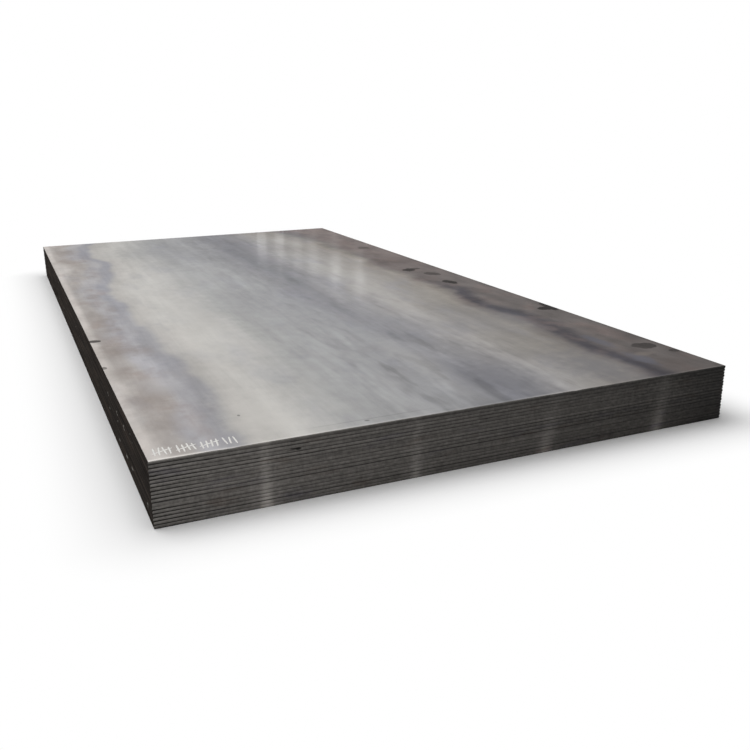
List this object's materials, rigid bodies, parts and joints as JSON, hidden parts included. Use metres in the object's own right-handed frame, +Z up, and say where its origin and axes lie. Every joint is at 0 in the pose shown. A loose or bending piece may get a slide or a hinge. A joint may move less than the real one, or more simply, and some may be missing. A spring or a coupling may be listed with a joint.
{
  "type": "stack of steel plates",
  "caption": "Flat stack of equal hot-rolled steel plates with rounded mill edges along the sides and sheared ends, raw stock for cutting and fabrication.",
  "frame": {"origin": "centre of the underside of the lowest plate, on the floor", "axes": "+X across the plates, to the right as seen from the end in front; +Y along the plates' length, the rolling direction, away from the viewer; +Z up"},
  "size_m": [1.5008, 3.0008, 0.1474],
  "materials": {
    "hot_rolled_steel": "satin"
  },
  "bodies": {
    "root": {"plate_01": "hot_rolled_steel", "plate_02": "hot_rolled_steel", "plate_03": "hot_rolled_steel", "plate_04": "hot_rolled_steel", "plate_05": "hot_rolled_steel", "plate_06": "hot_rolled_steel", "plate_07": "hot_rolled_steel", "plate_08": "hot_rolled_steel", "plate_09": "hot_rolled_steel", "plate_10": "hot_rolled_steel", "plate_11": "hot_rolled_steel", "plate_12": "hot_rolled_steel", "plate_13": "hot_rolled_steel", "plate_14": "hot_rolled_steel", "plate_15": "hot_rolled_steel", "plate_16": "hot_rolled_steel", "plate_17": "hot_rolled_steel", "plate_18": "hot_rolled_steel"}
  },
  "joints": []
}
